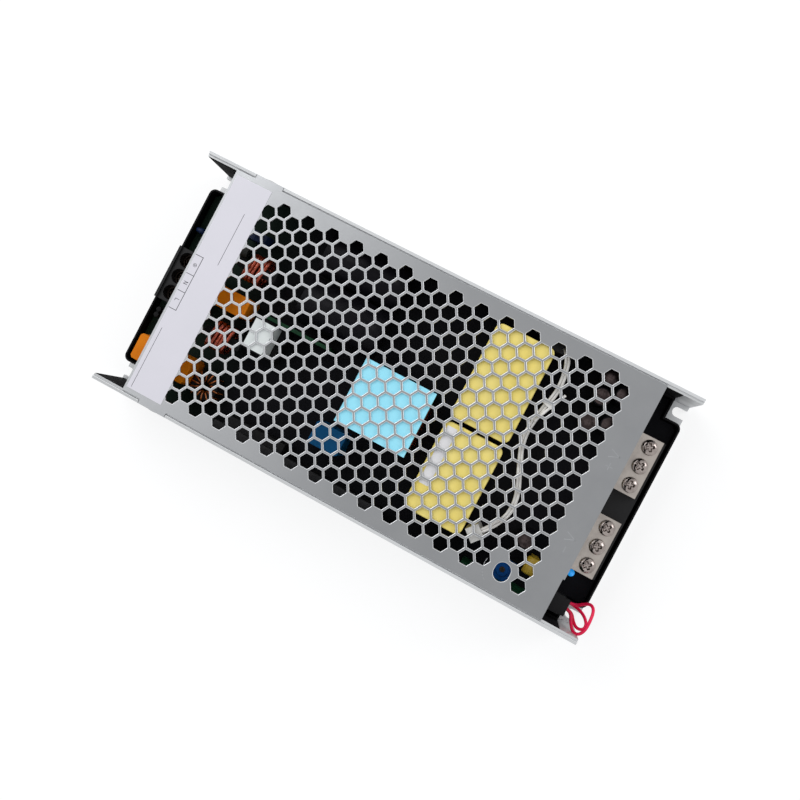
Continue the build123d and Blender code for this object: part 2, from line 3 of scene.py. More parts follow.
import bmesh
import bpy
import numpy as np
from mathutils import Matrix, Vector


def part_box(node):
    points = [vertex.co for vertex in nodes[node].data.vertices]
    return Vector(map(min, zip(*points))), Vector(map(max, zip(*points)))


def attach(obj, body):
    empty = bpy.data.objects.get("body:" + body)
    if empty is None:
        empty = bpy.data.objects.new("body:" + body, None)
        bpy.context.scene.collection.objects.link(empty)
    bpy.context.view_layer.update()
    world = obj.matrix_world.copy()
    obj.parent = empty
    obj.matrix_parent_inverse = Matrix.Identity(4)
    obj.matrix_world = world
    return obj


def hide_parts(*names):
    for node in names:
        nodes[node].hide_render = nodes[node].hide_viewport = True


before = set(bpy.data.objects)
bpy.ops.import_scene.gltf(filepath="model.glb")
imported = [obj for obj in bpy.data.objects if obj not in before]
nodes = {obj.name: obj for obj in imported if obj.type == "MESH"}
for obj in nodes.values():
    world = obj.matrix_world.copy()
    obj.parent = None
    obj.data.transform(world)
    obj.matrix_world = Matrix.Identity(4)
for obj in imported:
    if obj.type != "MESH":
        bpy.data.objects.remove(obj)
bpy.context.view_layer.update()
mm = 0.001
housing = "housing"
rotor = "rotor"


def boxOf(node):  # a CAD node's lowest and highest corners, in millimetres
    low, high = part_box(node)
    return np.array(low) / mm, np.array(high) / mm


# Camera: the photograph's view from above, in its 800 by 800 frame

cameraSettings = {
    "place": (59.331, 2.574, 529.062),
    "turnDegrees": (3.903787, 9.055086, 28.126846),
    "lens": 51.264,
    "shift": (0.0875, -0.0375),
}

lens = bpy.data.cameras.new("camera")
lens.sensor_width = 36.0
lens.sensor_fit = "HORIZONTAL"
lens.lens = cameraSettings["lens"]
lens.shift_x, lens.shift_y = cameraSettings["shift"]
lens.clip_start = 0.01
camera = bpy.data.objects.new("camera", lens)
camera.location = Vector(cameraSettings["place"]) * mm
camera.rotation_euler = [math.radians(turn) for turn in cameraSettings["turnDegrees"]]
bpy.context.collection.objects.link(camera)
bpy.context.scene.camera = camera


# Materials: two tones mixed by soft noise, a rough and a smooth side to the same noise, and fine relief

def paint(name, colour, rough=0.5, metal=0.0, second=None, patch=300.0, patchSoft=0.25, stretch=(1, 1, 1),
          roughSpread=0.1, bump=0.0, bumpScale=1500.0, bumpStretch=(1, 1, 1), coat=0.0, along=None,
          specular=0.5, bevel=0.0, glow=0.0):
    material = bpy.data.materials.new(name)
    material.use_nodes = True
    tree = material.node_tree
    tree.nodes.clear()

    def add(kind, **sockets):
        node = tree.nodes.new(kind)
        for key, value in sockets.items():
            node.inputs[key.replace("_", " ")].default_value = value
        return node

    def link(source, out, target, into):
        tree.links.new(source.outputs[out], target.inputs[into])

    shader = add("ShaderNodeBsdfPrincipled", Metallic=metal, Roughness=rough, Coat_Weight=coat,
                 Specular_IOR_Level=specular, Emission_Strength=glow, Emission_Color=(*colour, 1))
    output = add("ShaderNodeOutputMaterial")
    link(shader, "BSDF", output, "Surface")
    place = add("ShaderNodeTexCoord")

    patches = add("ShaderNodeMapping", Scale=stretch)
    link(place, "Object", patches, "Vector")
    noise = add("ShaderNodeTexNoise", Scale=patch, Detail=4.0)
    link(patches, "Vector", noise, "Vector")
    ramp = add("ShaderNodeMapRange", From_Min=0.5 - patchSoft, From_Max=0.5 + patchSoft)
    link(noise, "Fac", ramp, "Value")
    mix = add("ShaderNodeMix")
    mix.data_type = "RGBA"
    mix.inputs[6].default_value = (*colour, 1)
    mix.inputs[7].default_value = (*(second or colour), 1)
    link(ramp, "Result", mix, 0)
    tone = mix

    if along:  # the tone drifts from one tint to another along one axis of the object
        # this drift paints light and shade into the colour, lighter or darker along the axis
        axis, low, high, lowPaintedLight, highPaintedLight = along
        split = add("ShaderNodeSeparateXYZ")
        link(place, "Object", split, "Vector")
        slide = add("ShaderNodeMapRange", From_Min=low * mm, From_Max=high * mm)
        link(split, axis, slide, "Value")
        paintedLightTint = add("ShaderNodeMix")
        paintedLightTint.data_type = "RGBA"
        paintedLightTint.inputs[6].default_value = (*lowPaintedLight, 1)
        paintedLightTint.inputs[7].default_value = (*highPaintedLight, 1)
        link(slide, "Result", paintedLightTint, 0)
        tone = add("ShaderNodeMix")
        tone.data_type = "RGBA"
        tone.blend_type = "MULTIPLY"
        tone.inputs[0].default_value = 1.0
        link(mix, 2, tone, 6)
        link(paintedLightTint, 2, tone, 7)
    link(tone, 2, shader, "Base Color")

    spread = add("ShaderNodeMapRange", To_Min=max(0.02, rough - roughSpread),
                 To_Max=min(1.0, rough + roughSpread))
    link(noise, "Fac", spread, "Value")
    link(spread, "Result", shader, "Roughness")

    normal = None
    if bevel:
        normal = add("ShaderNodeBevel", Radius=bevel * mm)
        normal.samples = 4
    if bump:
        grains = add("ShaderNodeMapping", Scale=bumpStretch)
        link(place, "Object", grains, "Vector")
        grain = add("ShaderNodeTexNoise", Scale=bumpScale, Detail=3.0)
        link(grains, "Vector", grain, "Vector")
        relief = add("ShaderNodeBump", Strength=bump, Distance=0.0002)
        link(grain, "Fac", relief, "Height")
        if normal:
            link(normal, "Normal", relief, "Normal")
        normal = relief
    if normal:
        link(normal, "Normal", shader, "Normal")
    return material


looks = {
    # the chassis colour is darker at the input end and lighter towards the output end: painted shade against the
    # key light's glare
    "chassisAluminium": paint("chassis_aluminium", (0.54, 0.55, 0.56), rough=0.45, metal=0.8,
                              second=(0.49, 0.50, 0.51), patch=60, stretch=(1, 8, 8), bump=0.12, bumpScale=700,
                              bumpStretch=(0.05, 1, 1), bevel=0.15,
                              along=("X", -110, 40, (0.82, 0.82, 0.82), (1.1, 1.1, 1.1))),
    # the cover colour is lighter at the input end and darker towards the middle: a painted reflection gradient
    "coverAluminium": paint("cover_aluminium", (0.41, 0.42, 0.435), rough=0.42, metal=1.0,
                            second=(0.37, 0.38, 0.395), patch=80, bump=0.08, bumpScale=2500,
                            along=("X", -110, 10, (1.0, 1.0, 1.0), (0.66, 0.66, 0.66))),
    # metal for hole walls and rounded rims, brighter than the sheet: partly bare cut metal, partly painted
    # highlight along the edges
    "cutEdgeAndHighlight": paint("cut_edge_and_highlight", (0.66, 0.67, 0.69), rough=0.4, metal=0.9, second=(0.58, 0.59, 0.61), patch=400),
    "labelFilm": paint("label_film", (0.74, 0.72, 0.78), rough=0.45, second=(0.70, 0.69, 0.74), patch=40),
    "labelInk": paint("label_ink", (0.05, 0.05, 0.06), rough=0.6, second=(0.08, 0.08, 0.09)),
    "trayFilm": paint("tray_film", (0.003, 0.003, 0.0035), rough=0.36, second=(0.005, 0.005, 0.006), patch=60,
                      bump=0.05, bumpScale=900, specular=0.08),
    "wallFilm": paint("wall_film", (0.003, 0.003, 0.0035), rough=0.75, second=(0.005, 0.005, 0.006), patch=60,
                      specular=0.04),
    # the board colour turns darker and less green towards the middle, where it lies under the cover: painted
    # shade
    "boardGreen": paint("board_green", (0.012, 0.026, 0.017), rough=0.5, second=(0.008, 0.018, 0.012), patch=120,
                        specular=0.06, along=("X", -95, -65, (1.0, 1.0, 1.0), (0.65, 0.30, 0.62))),
    "nylon": paint("spacer_nylon", (0.70, 0.69, 0.64), rough=0.5, second=(0.64, 0.63, 0.58), bump=0.05),
    "terminalBlack": paint("terminal_black", (0.011, 0.011, 0.012), rough=0.45, second=(0.015, 0.015, 0.016),
                           patch=200, bump=0.10, bumpScale=3000, bevel=0.15, specular=0.18),
    "nickelBar": paint("terminal_nickel", (0.42, 0.385, 0.355), rough=0.34, metal=1.0, second=(0.32, 0.29, 0.27),
                       patch=250, bump=0.10, bumpScale=1800, bevel=0.25),
    "screwNickel": paint("screw_nickel", (0.40, 0.355, 0.335), rough=0.16, metal=1.0, second=(0.20, 0.17, 0.16),
                         patch=500, bump=0.04, bumpScale=2500),
    # a darker copy of the screw metal for the screws and clamps down in the input block's wells: painted shade
    "wellScrewShaded": paint("well_screw_shaded", (0.13, 0.10, 0.085), rough=0.35, metal=1.0, second=(0.08, 0.06, 0.05),
                       patch=500),
    "tabScrew": paint("tab_screw", (0.45, 0.45, 0.46), rough=0.3, metal=1.0, second=(0.38, 0.38, 0.39),
                      patch=500),
    "trimmerBlue": paint("trimmer_blue", (0.003, 0.070, 0.28), rough=0.45, second=(0.002, 0.055, 0.22), patch=300,
                         specular=0.12),
    "rotorBlue": paint("rotor_blue", (0.003, 0.075, 0.30), rough=0.5, second=(0.002, 0.060, 0.24), patch=300,
                       specular=0.10),
    "adjuster": paint("adjuster", (0.045, 0.038, 0.034), rough=0.4, metal=1.0, second=(0.025, 0.02, 0.018),
                      patch=900),
    "lampBlue": paint("lamp_blue", (0.02, 0.37, 0.96), rough=0.15, coat=0.4, second=(0.03, 0.42, 1.0), glow=0.45),
    "connectorBlack": paint("connector_black", (0.008, 0.008, 0.009), rough=0.45, second=(0.012, 0.012, 0.013),
                            bump=0.06, bevel=0.12, specular=0.15),
    "wireRed": paint("wire_red", (0.92, 0.014, 0.095), rough=0.35, second=(0.80, 0.010, 0.065), patch=500,
                     specular=0.3),
    "wireWhite": paint("wire_white", (0.86, 0.84, 0.80), rough=0.5, second=(0.76, 0.74, 0.71), patch=300),
    "wireBright": paint("wire_bright", (0.93, 0.91, 0.88), rough=0.5, second=(0.88, 0.86, 0.82), patch=300),
    "stickerWhite": paint("sticker_white", (0.82, 0.81, 0.82), rough=0.5, second=(0.76, 0.75, 0.76), patch=100),
    "etchedMark": paint("etched_mark", (0.345, 0.355, 0.37), rough=0.6, metal=1.0, second=(0.31, 0.32, 0.33)),
    "beadGrey": paint("bead_grey", (0.007, 0.007, 0.008), rough=0.6, second=(0.010, 0.010, 0.011), patch=400,
                      specular=0.1),
    "connectorWhite": paint("connector_white", (0.70, 0.69, 0.66), rough=0.45, second=(0.64, 0.63, 0.60),
                            bevel=0.1),
    "padCyan": paint("pad_cyan", (0.36, 0.84, 1.0), rough=0.7, second=(0.31, 0.80, 0.98), patch=200, bump=0.15,
                     bumpScale=900),
    "padWhite": paint("pad_white", (0.74, 0.77, 0.76), rough=0.6, second=(0.66, 0.70, 0.69), patch=250, bump=0.1),
    "ferrite": paint("ferrite", (0.008, 0.008, 0.009), rough=0.6, second=(0.014, 0.014, 0.015), patch=400,
                     bump=0.3, bumpScale=1200, bevel=0.3, specular=0.12),
    "copperEnamel": paint("winding_copper", (0.38, 0.055, 0.018), rough=0.2, metal=0.7,
                          second=(0.22, 0.03, 0.010), patch=300, coat=0.5),
    "orangeEnamel": paint("winding_orange", (0.50, 0.14, 0.02), rough=0.2, metal=0.5, second=(0.30, 0.08, 0.012),
                          patch=300, coat=0.5),
    "tapeYellow": paint("tape_yellow", (0.90, 0.72, 0.17), rough=0.45, second=(0.93, 0.78, 0.25), patch=90,
                        bump=0.12, bumpScale=300, specular=0.3),
    "bobbinBlack": paint("bobbin_black", (0.008, 0.008, 0.009), rough=0.5, second=(0.012, 0.012, 0.013), bump=0.1,
                         specular=0.15),
    "filmOrange": paint("film_orange", (0.86, 0.25, 0.004), rough=0.5, second=(0.78, 0.20, 0.003), patch=120,
                        bevel=0.5, specular=0.12),
    "filmBlue": paint("film_blue", (0.003, 0.10, 0.26), rough=0.5, second=(0.003, 0.08, 0.20), patch=150,
                      bevel=0.5, specular=0.12),
    "sleeveDark": paint("sleeve_dark", (0.004, 0.004, 0.006), rough=0.4, second=(0.008, 0.007, 0.010), patch=200,
                        specular=0.10),
    "canTop": paint("can_top", (0.085, 0.066, 0.066), rough=0.3, metal=1.0, second=(0.04, 0.03, 0.03), patch=400),
    "sleeveYellow": paint("sleeve_yellow", (0.66, 0.47, 0.045), rough=0.45, second=(0.50, 0.31, 0.02), patch=300),
    "relayBlack": paint("relay_black", (0.007, 0.007, 0.008), rough=0.45, second=(0.010, 0.010, 0.011), bump=0.05,
                        bevel=0.2, specular=0.12),
    "cardGreen": paint("card_green", (0.006, 0.055, 0.022), rough=0.45, second=(0.004, 0.035, 0.013), patch=300,
                       specular=0.15),
    "heatBar": paint("heat_bar", (0.05, 0.05, 0.053), rough=0.5, metal=1.0, second=(0.035, 0.035, 0.037),
                     patch=200, bevel=0.2),
    "epoxyBlack": paint("epoxy_black", (0.008, 0.008, 0.009), rough=0.5, second=(0.012, 0.012, 0.013), bump=0.1,
                        bevel=0.2, specular=0.15),
    "epoxyBlue": paint("epoxy_blue", (0.006, 0.018, 0.065), rough=0.45, second=(0.004, 0.012, 0.045), patch=300,
                       specular=0.2),
    "fuseCeramic": paint("fuse_ceramic", (0.05, 0.052, 0.048), rough=0.5, second=(0.035, 0.037, 0.034), patch=300,
                         specular=0.15),
}

dress = {
    "chassis": "chassisAluminium", "cover": "coverAluminium", "rating_label": "labelFilm",
    "insulation_tray": "trayFilm", "main_board": "boardGreen", "board_spacers": "nylon",
    "input_terminal_block": "terminalBlack", "input_clamps": "wellScrewShaded", "input_terminal_screws": "wellScrewShaded",
    "output_bar_positive": "nickelBar", "output_bar_negative": "nickelBar",
    "output_terminal_base": "terminalBlack", "output_terminal_screws": "screwNickel",
    "trimmer_body": "trimmerBlue", "trimmer_rotor": "rotorBlue",
    "trimmer_card": "cardGreen", "status_lamp": "lampBlue", "control_header": "connectorBlack",
    "control_plug": "connectorBlack", "jumper_wire_high": "wireRed", "jumper_wire_low": "wireRed",
    "white_lead": "wireWhite", "white_lead_plug": "connectorWhite", "cable_tie": "wireWhite",
    "thermal_pad": "padCyan", "boost_choke_core": "ferrite", "boost_choke_winding": "copperEnamel",
    "relay": "relayBlack", "white_pad": "padWhite",
    "transformer_core_1": "ferrite", "transformer_tape_1": "tapeYellow", "transformer_bobbin_1": "bobbinBlack",
    "transformer_core_2": "ferrite", "transformer_tape_2": "tapeYellow", "transformer_bobbin_2": "bobbinBlack",
    "bulk_capacitor_1": "sleeveDark", "bulk_capacitor_2": "sleeveDark",
    "front_film_capacitor": "filmOrange", "rear_film_capacitor": "filmOrange", "blue_film_capacitor": "filmBlue",
    "line_choke_core_1": "ferrite", "line_choke_winding_1": "copperEnamel",
    "line_choke_core_2": "ferrite", "line_choke_winding_2": "copperEnamel", "ring_choke": "ferrite",
    "input_fuse": "fuseCeramic", "varistor": "epoxyBlue", "control_card": "cardGreen",
    "output_capacitors": "sleeveDark", "sleeved_capacitor": "sleeveYellow",
    "input_heat_bar": "heatBar", "output_heat_bar": "heatBar", "rectifier_bridge": "epoxyBlack",
}
for node, look in dress.items():
    nodes[node].data.materials.clear()
    nodes[node].data.materials.append(looks[look])
print("materials set")


# Shapes, in millimetres, each as an array of points and a list of faces

def mesh(name, shape, look, body=housing, smooth=True):
    points, faces = shape
    data = bpy.data.meshes.new(name)
    data.from_pydata((np.asarray(points) * mm).tolist(), [], [list(face) for face in faces])
    data.polygons.foreach_set("use_smooth", [smooth] * len(data.polygons))
    data.materials.append(looks[look])
    piece = bpy.data.objects.new(name, data)
    bpy.context.collection.objects.link(piece)
    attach(piece, body)
    return piece


def together(shapes):
    # one shape from several: the points one after another, and each shape's faces counted on from the last
    starts = np.cumsum([0] + [len(points) for points, faces in shapes])
    points = np.concatenate([points for points, faces in shapes])
    faces = [tuple(int(index) + int(start) for index in face)
             for start, (own, listed) in zip(starts, shapes) for face in listed]
    return points, faces


def gridFaces(rings, sides, loop=False):
    # each cell joins two neighbours on a ring to the same two on the next ring; the last side meets the
    # first, and the last ring meets the first where the path is a loop
    ring = np.arange(rings if loop else rings - 1)[:, None] * np.ones((1, sides), int)
    side = np.arange(sides)[None, :] * np.ones((len(ring), 1), int)
    after, above = (side + 1) % sides, (ring + 1) % rings
    cells = (ring * sides + side, ring * sides + after, above * sides + after, above * sides + side)
    return np.stack(cells, axis=-1).reshape(-1, 4).tolist()


def capped(points, rings, sides):
    # the grid's cells, with the first ring closed downwards and the last ring closed upwards
    ends = [list(range(sides))[::-1], list(range((rings - 1) * sides, rings * sides))]
    return points.reshape(-1, 3), gridFaces(rings, sides) + ends


def revolve(profile, sides=56):
    # a profile of radius and level, turned about Z: radius times the cosine and sine of the turn
    radius, level = np.array(profile, float).T[:, :, None]
    turn = np.arange(sides)[None, :] * 2 * math.pi / sides
    points = np.stack((radius * np.cos(turn), radius * np.sin(turn), level + 0 * turn), axis=-1)
    return capped(points, len(profile), sides)


def racetrack(halfWide, halfTall, corner, steps=8):
    # a rounded rectangle: a quarter circle of the corner's radius about the centre of each corner
    signs = np.array(((1, 1), (-1, 1), (-1, -1), (1, -1)))
    angle = np.radians(np.arange(4) * 90)[:, None] + np.radians(np.linspace(0, 90, steps + 1))[None, :]
    wide = signs[:, :1] * (halfWide - corner) + corner * np.cos(angle)
    tall = signs[:, 1:] * (halfTall - corner) + corner * np.sin(angle)
    return np.stack((wide.ravel(), tall.ravel()), axis=1)


def roundedBlock(low, high, corner, edge, steps=7):
    # rounded rectangles stacked up Z, drawn in at the bottom and the top by a quarter circle of the edge
    low, high = np.array(low, float), np.array(high, float)
    middle, half = (low + high) / 2, (high - low) / 2
    turns = np.radians(np.linspace(0, 90, 5))
    insets = edge * np.r_[1 - np.sin(turns), 1 - np.cos(turns)]
    levels = np.r_[low[2] + edge * (1 - np.cos(turns)), high[2] - edge * (1 - np.sin(turns))]
    outlines = [racetrack(half[0] - inset, half[1] - inset, max(0.05, corner - inset), steps) for inset in insets]
    points = np.stack([np.c_[outline + middle[:2], np.full(len(outline), level)]
                       for outline, level in zip(outlines, levels)])
    return capped(points, len(levels), len(outlines[0]))


def block(low, high):
    # a plain box between two corners, for legs and strips that are only a few pixels wide
    corners = np.array([(x, y, z) for z in (low[2], high[2])
                        for x, y in ((low[0], low[1]), (high[0], low[1]), (high[0], high[1]), (low[0], high[1]))])
    return capped(corners.reshape(2, 4, 3), 2, 4)


def stroke(start, end, width, level, thickness=0.02):
    # a thin flat bar from start to end, half its width longer at both
    a, b = np.array(start, float), np.array(end, float)
    along = (b - a) / np.linalg.norm(b - a) * width / 2
    side = np.array((-along[1], along[0]))
    flat = np.array((a - along - side, b + along - side, b + along + side, a - along + side))
    points = np.stack([np.c_[flat, np.full(4, z)] for z in (level, level + thickness)])
    return capped(points, 2, 4)


def tube(path, radius, sides=10, closed=False, lean=(0.31, 0.27, 0.91)):
    # a circle carried along a path, square to it: the radius times cosine and sine of the turn, along two
    # directions square to the path, the first of them as near as it can be to the lean, which the path
    # never runs along
    path, lean = np.asarray(path, float), np.array(lean)
    ahead = np.roll(path, -1, axis=0) - np.roll(path, 1, axis=0)
    if not closed:
        ahead[0], ahead[-1] = path[1] - path[0], path[-1] - path[-2]
    ahead /= np.linalg.norm(ahead, axis=1)[:, None]
    normal = lean - ahead * (ahead @ lean)[:, None]
    normal /= np.linalg.norm(normal, axis=1)[:, None]
    other = np.cross(ahead, normal)
    turn = (np.arange(sides) * 2 * math.pi / sides)[None, :, None]
    points = path[:, None] + radius * (np.cos(turn) * normal[:, None] + np.sin(turn) * other[:, None])
    if closed:
        return points.reshape(-1, 3), gridFaces(len(path), sides, loop=True)
    return capped(points, len(path), sides)


def placed(shape, x, y, z, axis="Z"):
    # the shape's own Z turned to point along an axis, by passing its three measures on in a ring
    points, faces = shape
    order = {"Z": (0, 1, 2), "X": (2, 0, 1), "Y": (1, 2, 0)}[axis]
    return np.asarray(points)[:, order] + (x, y, z), faces


def followed(route):
    # points along the smooth curve that has the route's points as its control points
    curve = bpy.data.curves.new("route", "CURVE")
    curve.dimensions = "3D"
    curve.resolution_u = 12
    spline = curve.splines.new("NURBS")
    spline.points.add(len(route) - 1)
    for point, place in zip(spline.points, route):
        point.co = (*(Vector(place) * mm), 1.0)
    spline.order_u = 3
    spline.use_endpoint_u = True
    holder = bpy.data.objects.new("route", curve)
    line = bpy.data.meshes.new_from_object(holder)
    points = np.array([vertex.co[:] for vertex in line.vertices]) / mm
    bpy.data.meshes.remove(line)
    bpy.data.objects.remove(holder)
    bpy.data.curves.remove(curve)
    return points


# Jumper wires at the control connector

jumperSettings = {
    "radius": 0.7,
    "jumper_wire_high": {
        "length": 0.0435,
        "route": ((112.0, -45.2, 21.2), (114.6, -45.0, 21.3), (117.2, -42.4, 23.8), (119.4, -40.6, 28.0),
                  (121.2, -42.2, 31.4), (121.6, -47.2, 33.0), (121.6, -51.6, 32.0), (120.1, -54.6, 30.2),
                  (117.8, -54.8, 27.4), (115.6, -51.8, 24.0), (114.2, -48.4, 21.2), (112.0, -48.2, 21.2))},
    "jumper_wire_low": {
        "length": 0.0316,
        "route": ((112.0, -45.2, 18.8), (114.6, -45.5, 18.9), (117.6, -46.0, 21.2), (120.0, -47.2, 25.2),
                  (121.7, -49.6, 28.0), (121.2, -52.0, 28.0), (118.8, -52.9, 26.0), (116.6, -51.2, 22.6),
                  (114.8, -48.5, 18.9), (112.0, -48.2, 18.8))},
}
for node in ("jumper_wire_high", "jumper_wire_low"):
    settings = jumperSettings[node]
    curve = bpy.data.curves.new(node + "_wire", "CURVE")
    curve.dimensions = "3D"
    curve.bevel_depth = jumperSettings["radius"] * mm
    curve.bevel_resolution = 6
    curve.resolution_u = 16
    curve.use_fill_caps = True
    spline = curve.splines.new("NURBS")
    spline.points.add(len(settings["route"]) - 1)
    for point, place in zip(spline.points, settings["route"]):
        point.co = (*(Vector(place) * mm), 1.0)
    spline.order_u = 3
    spline.use_endpoint_u = True
    curve.materials.append(looks["wireRed"])
    wire = bpy.data.objects.new(node + "_wire", curve)
    bpy.context.collection.objects.link(wire)
    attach(wire, housing)
    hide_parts(node)
    run = followed(settings["route"])
    print(node, "runs", round(float(np.linalg.norm(np.diff(run, axis=0), axis=1).sum()), 1), "mm")


# White sensing lead: two cores side by side, slowly twisted, and the loose tail of its tie

leadSettings = {
    "route": ((60.0, 51.0, 27.7), (60.0, 51.0, 33.0), (63.8, 45.2, 37.0), (65.6, 32.6, 37.6), (62.2, 20.0, 37.6),
              (61.4, 7.4, 37.6), (66.8, -5.0, 37.6), (71.6, -16.4, 37.6), (70.4, -27.4, 37.6),
              (64.2, -34.8, 37.6)),
    "apart": 0.62, "core": 0.6, "twist": 0.05, "sway": 0.45,
    "tail": ((62.3, 17.0, 38.3), (64.6, 22.6, 38.6), (66.8, 28.0, 38.6), (68.9, 32.6, 38.4)), "tailCore": 0.62,
}
line = followed(leadSettings["route"])
ahead = np.gradient(line, axis=0)
ahead /= np.linalg.norm(ahead, axis=1)[:, None]
side = np.cross(ahead, (0.0, 0.02, 1.0))
side /= np.linalg.norm(side, axis=1)[:, None]
lift = np.cross(side, ahead)
travel = np.r_[0, np.cumsum(np.linalg.norm(np.diff(line, axis=0), axis=1))]
turn = leadSettings["sway"] * np.sin(travel * leadSettings["twist"] * 2 * math.pi)[:, None]
offset = leadSettings["apart"] * (side * np.cos(turn) + lift * np.sin(turn))
cores = [tube(line + way * offset, leadSettings["core"], 12) for way in (1, -1)]
lead = mesh("sensing_lead", together(cores), "wireWhite")
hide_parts("white_lead")
tail = tube(followed(leadSettings["tail"]), leadSettings["tailCore"], 10)
mesh("tie_tail", tail, "wireBright")
print("wires and lead made")


# Cover and case, with rounded top edges and steep faces in a brighter metal: partly bare cut metal, partly
# painted highlight

rimRules = {"merge": 0.01, "flatDegrees": 1, "sameLevel": 0.02, "sharpDegrees": 50, "steep": 0.93}


def rimmed(settings):
    # a copy of a CAD node's mesh, merged, with the sharp edges at its top rounded over wherever both ends are
    # nearer the middle in Y than a limit, which keeps the rounding off the cover's folded tabs, and with every
    # steep face from the top down to a depth given a brighter metal: partly cut metal, partly painted highlight
    shape = bmesh.new()
    shape.from_mesh(nodes[settings["node"]].data)
    bmesh.ops.remove_doubles(shape, verts=shape.verts, dist=rimRules["merge"] * mm)
    bmesh.ops.dissolve_limit(shape, angle_limit=math.radians(rimRules["flatDegrees"]), verts=shape.verts,
                             edges=shape.edges)
    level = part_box(settings["node"])[1][2]
    rims = [edge for edge in shape.edges if len(edge.link_faces) == 2
            and all(abs(vert.co.z - level) < rimRules["sameLevel"] * mm for vert in edge.verts)
            and all(abs(vert.co.y) < settings["roundedTo"] * mm for vert in edge.verts)
            and edge.calc_face_angle(0) > math.radians(rimRules["sharpDegrees"])]
    bmesh.ops.bevel(shape, geom=rims, offset=settings["round"] * mm, offset_type="OFFSET", segments=2,
                    profile=0.5, affect="EDGES", clamp_overlap=False)
    for face in shape.faces:
        high = all(vert.co.z > level - settings["depth"] * mm for vert in face.verts)
        inside = abs(face.calc_center_median().y) < settings["reach"] * mm
        face.material_index = int(high and inside and abs(face.normal.z) < rimRules["steep"])
        face.smooth = False
    data = bpy.data.meshes.new(settings["name"])
    shape.to_mesh(data)
    shape.free()
    data.materials.append(looks[settings["look"]])
    # the second material: partly bare cut metal, partly a painted highlight on the edges
    data.materials.append(looks["cutEdgeAndHighlight"])
    piece = bpy.data.objects.new(settings["name"], data)
    bpy.context.collection.objects.link(piece)
    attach(piece, housing)
    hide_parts(settings["node"])
    print(settings["name"], "rims", len(rims), "faces", len(data.polygons))


rimmed({"node": "cover", "name": "cover_sheet", "look": "coverAluminium", "slot": "cover_aluminium",
        "round": 0.25, "roundedTo": 55.0, "depth": 1.05, "reach": 56.2})
rimmed({"node": "chassis", "name": "case_channel", "look": "chassisAluminium", "slot": "chassis_aluminium",
        "round": 0.2, "roundedTo": 58.0, "depth": 0.25, "reach": 58.0})

filmSettings = {"thick": 0.24, "gap": 0.02, "wallInside": 55.0, "top": 39.7, "ends": (-119.4, 111.3)}
caseHigh = boxOf("chassis")[1]
trayLow = boxOf("insulation_tray")[0]
films = []
for way in (-1, 1):
    outer = way * (filmSettings["wallInside"] - filmSettings["gap"])
    inner = outer - way * filmSettings["thick"]
    films.append(block((filmSettings["ends"][0], min(outer, inner), trayLow[2]),
                       (filmSettings["ends"][1], max(outer, inner), filmSettings["top"])))
mesh("wall_film", together(films), "wallFilm", smooth=False)
print("cover, case and wall film made")


# Screws with cross recesses

screwSettings = {"rings": 22, "spokes": 72, "recessReach": 0.62, "recessHalfWidth": 0.17, "recessDepth": 0.62,
                 "rimGrow": (1.03, 1.045, 1.03, 0.97), "rimLevel": (0.82, 0.45, 0.12, 0.0)}


def crossHead(radius, height, dome, turn):
    # rings of a low dome, the height less the dome times the reach to the power 2.6, sunk by a cross whose
    # arms fade out sideways and towards their ends, and then the rings of the rim down to the seat
    rings, spokes = screwSettings["rings"], screwSettings["spokes"]
    reach, half = screwSettings["recessReach"] * radius, screwSettings["recessHalfWidth"] * radius
    out = np.linspace(0.02, 1.0, rings)[:, None]
    spoke = (np.arange(spokes) * 2 * math.pi / spokes)[None, :]
    px, py = out * radius * np.cos(spoke), out * radius * np.sin(spoke)
    u = np.abs(px * math.cos(turn) + py * math.sin(turn))
    v = np.abs(py * math.cos(turn) - px * math.sin(turn))
    arm = np.clip(1 - np.maximum(0, np.minimum(u, v) - half * 0.55) / (half * 0.6), 0, 1)
    end = np.clip(1 - np.maximum(0, np.maximum(u, v) - reach * 0.45) / (reach * 0.55), 0, 1)
    sink = screwSettings["recessDepth"] * height * np.minimum(1, arm * 1.4) * np.minimum(1, end * 1.6)
    face = np.stack((px, py, height - dome * out ** 2.6 - sink), axis=-1)
    grow = np.array(screwSettings["rimGrow"])[:, None] * radius
    level = np.array(screwSettings["rimLevel"])[:, None] * (height - dome)
    rim = np.stack((grow * np.cos(spoke), grow * np.sin(spoke), level + 0 * spoke), axis=-1)
    points, faces = capped(np.concatenate((face, rim)), rings + len(rim), spokes)
    return points, [face[::-1] for face in faces]


outputScrews = {"x": 110.6, "ys": (30.0, 21.0, 12.0, -9.0, -18.0, -27.0), "radius": 3.3, "height": 2.5,
                "dome": 1.2, "turns": (0.5, 1.1, 0.2, 0.9, 0.35, 0.7)}
seat = boxOf("output_bar_positive")[1][2]
heads = [placed(crossHead(outputScrews["radius"], outputScrews["height"], outputScrews["dome"], turn),
                outputScrews["x"], y, seat) for y, turn in zip(outputScrews["ys"], outputScrews["turns"])]
screws = mesh("output_screw_heads", together(heads), "screwNickel")
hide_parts("output_terminal_screws")

inputScrews = {"ys": (9.2, 1.0, -7.2), "radius": 2.8, "height": 2.0, "dome": 0.8, "turns": (0.3, 0.8, 0.1)}
wellLow, wellHigh = boxOf("input_terminal_screws")
heads = [placed(crossHead(inputScrews["radius"], inputScrews["height"], inputScrews["dome"], turn),
                (wellLow[0] + wellHigh[0]) / 2, y, wellLow[2])
         for y, turn in zip(inputScrews["ys"], inputScrews["turns"])]
screws = mesh("input_screw_heads", together(heads), "wellScrewShaded")
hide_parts("input_terminal_screws")

